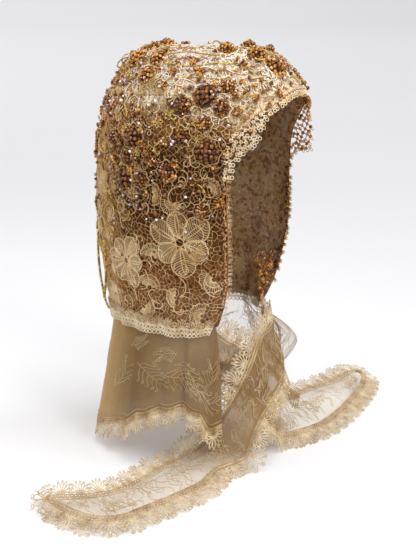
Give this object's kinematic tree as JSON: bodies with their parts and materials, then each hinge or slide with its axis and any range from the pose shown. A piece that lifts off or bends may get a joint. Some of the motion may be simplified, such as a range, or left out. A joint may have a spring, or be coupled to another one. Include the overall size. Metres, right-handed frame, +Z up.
{
  "type": "beaded lace bridal hood",
  "caption": "Deep lace cap over crown, ears and nape with domed bead rosettes, scalloped edging round the face, a tulle fall and two long edged ties crossed at the throat.",
  "frame": {"origin": "inner top of the crown, where the hood sits on a head", "axes": "+Z up, the face looks along -Y, the wearer's right side is -X"},
  "size_m": [0.47, 0.2363, 0.3869],
  "materials": {
    "lace": "corded lace on net, matte thread",
    "guipure": "guipure trim, matte cream tan thread",
    "tulle": "sheer soft tulle",
    "amber_beads": "faceted amber glass beads",
    "gold_beads": "olive gold lined seed beads"
  },
  "bodies": {
    "root": {"lace_hood": "lace", "face_edging": "guipure", "hem_border": "guipure", "veil_fall": "tulle", "fall_edging": "guipure", "right_tie": "tulle", "right_tie_upper_edging": "guipure", "right_tie_lower_edging": "guipure", "left_tie": "tulle", "left_tie_upper_edging": "guipure", "left_tie_lower_edging": "guipure", "rosette_01": "amber_beads", "rosette_02": "amber_beads", "rosette_03": "amber_beads", "rosette_04": "amber_beads", "rosette_05": "amber_beads", "rosette_06": "amber_beads", "rosette_07": "amber_beads", "rosette_08": "amber_beads", "rosette_09": "amber_beads", "rosette_10": "amber_beads", "rosette_11": "amber_beads", "rosette_12": "amber_beads", "rosette_13": "amber_beads", "rosette_14": "amber_beads", "rosette_15": "amber_beads", "rosette_16": "amber_beads", "rosette_17": "amber_beads", "rosette_18": "amber_beads", "rosette_19": "amber_beads", "rosette_20": "amber_beads", "rosette_21": "amber_beads", "rosette_22": "amber_beads", "rosette_23": "amber_beads", "rosette_24": "amber_beads", "rosette_25": "amber_beads", "rosette_26": "amber_beads", "rosette_27": "amber_beads", "rosette_28": "amber_beads", "rosette_29": "amber_beads", "rosette_30": "amber_beads", "rosette_31": "amber_beads", "rosette_32": "amber_beads", "rosette_33": "amber_beads", "rosette_34": "amber_beads", "rosette_35": "amber_beads", "rosette_36": "amber_beads", "bead_swag": "gold_beads"}
  },
  "joints": []
}
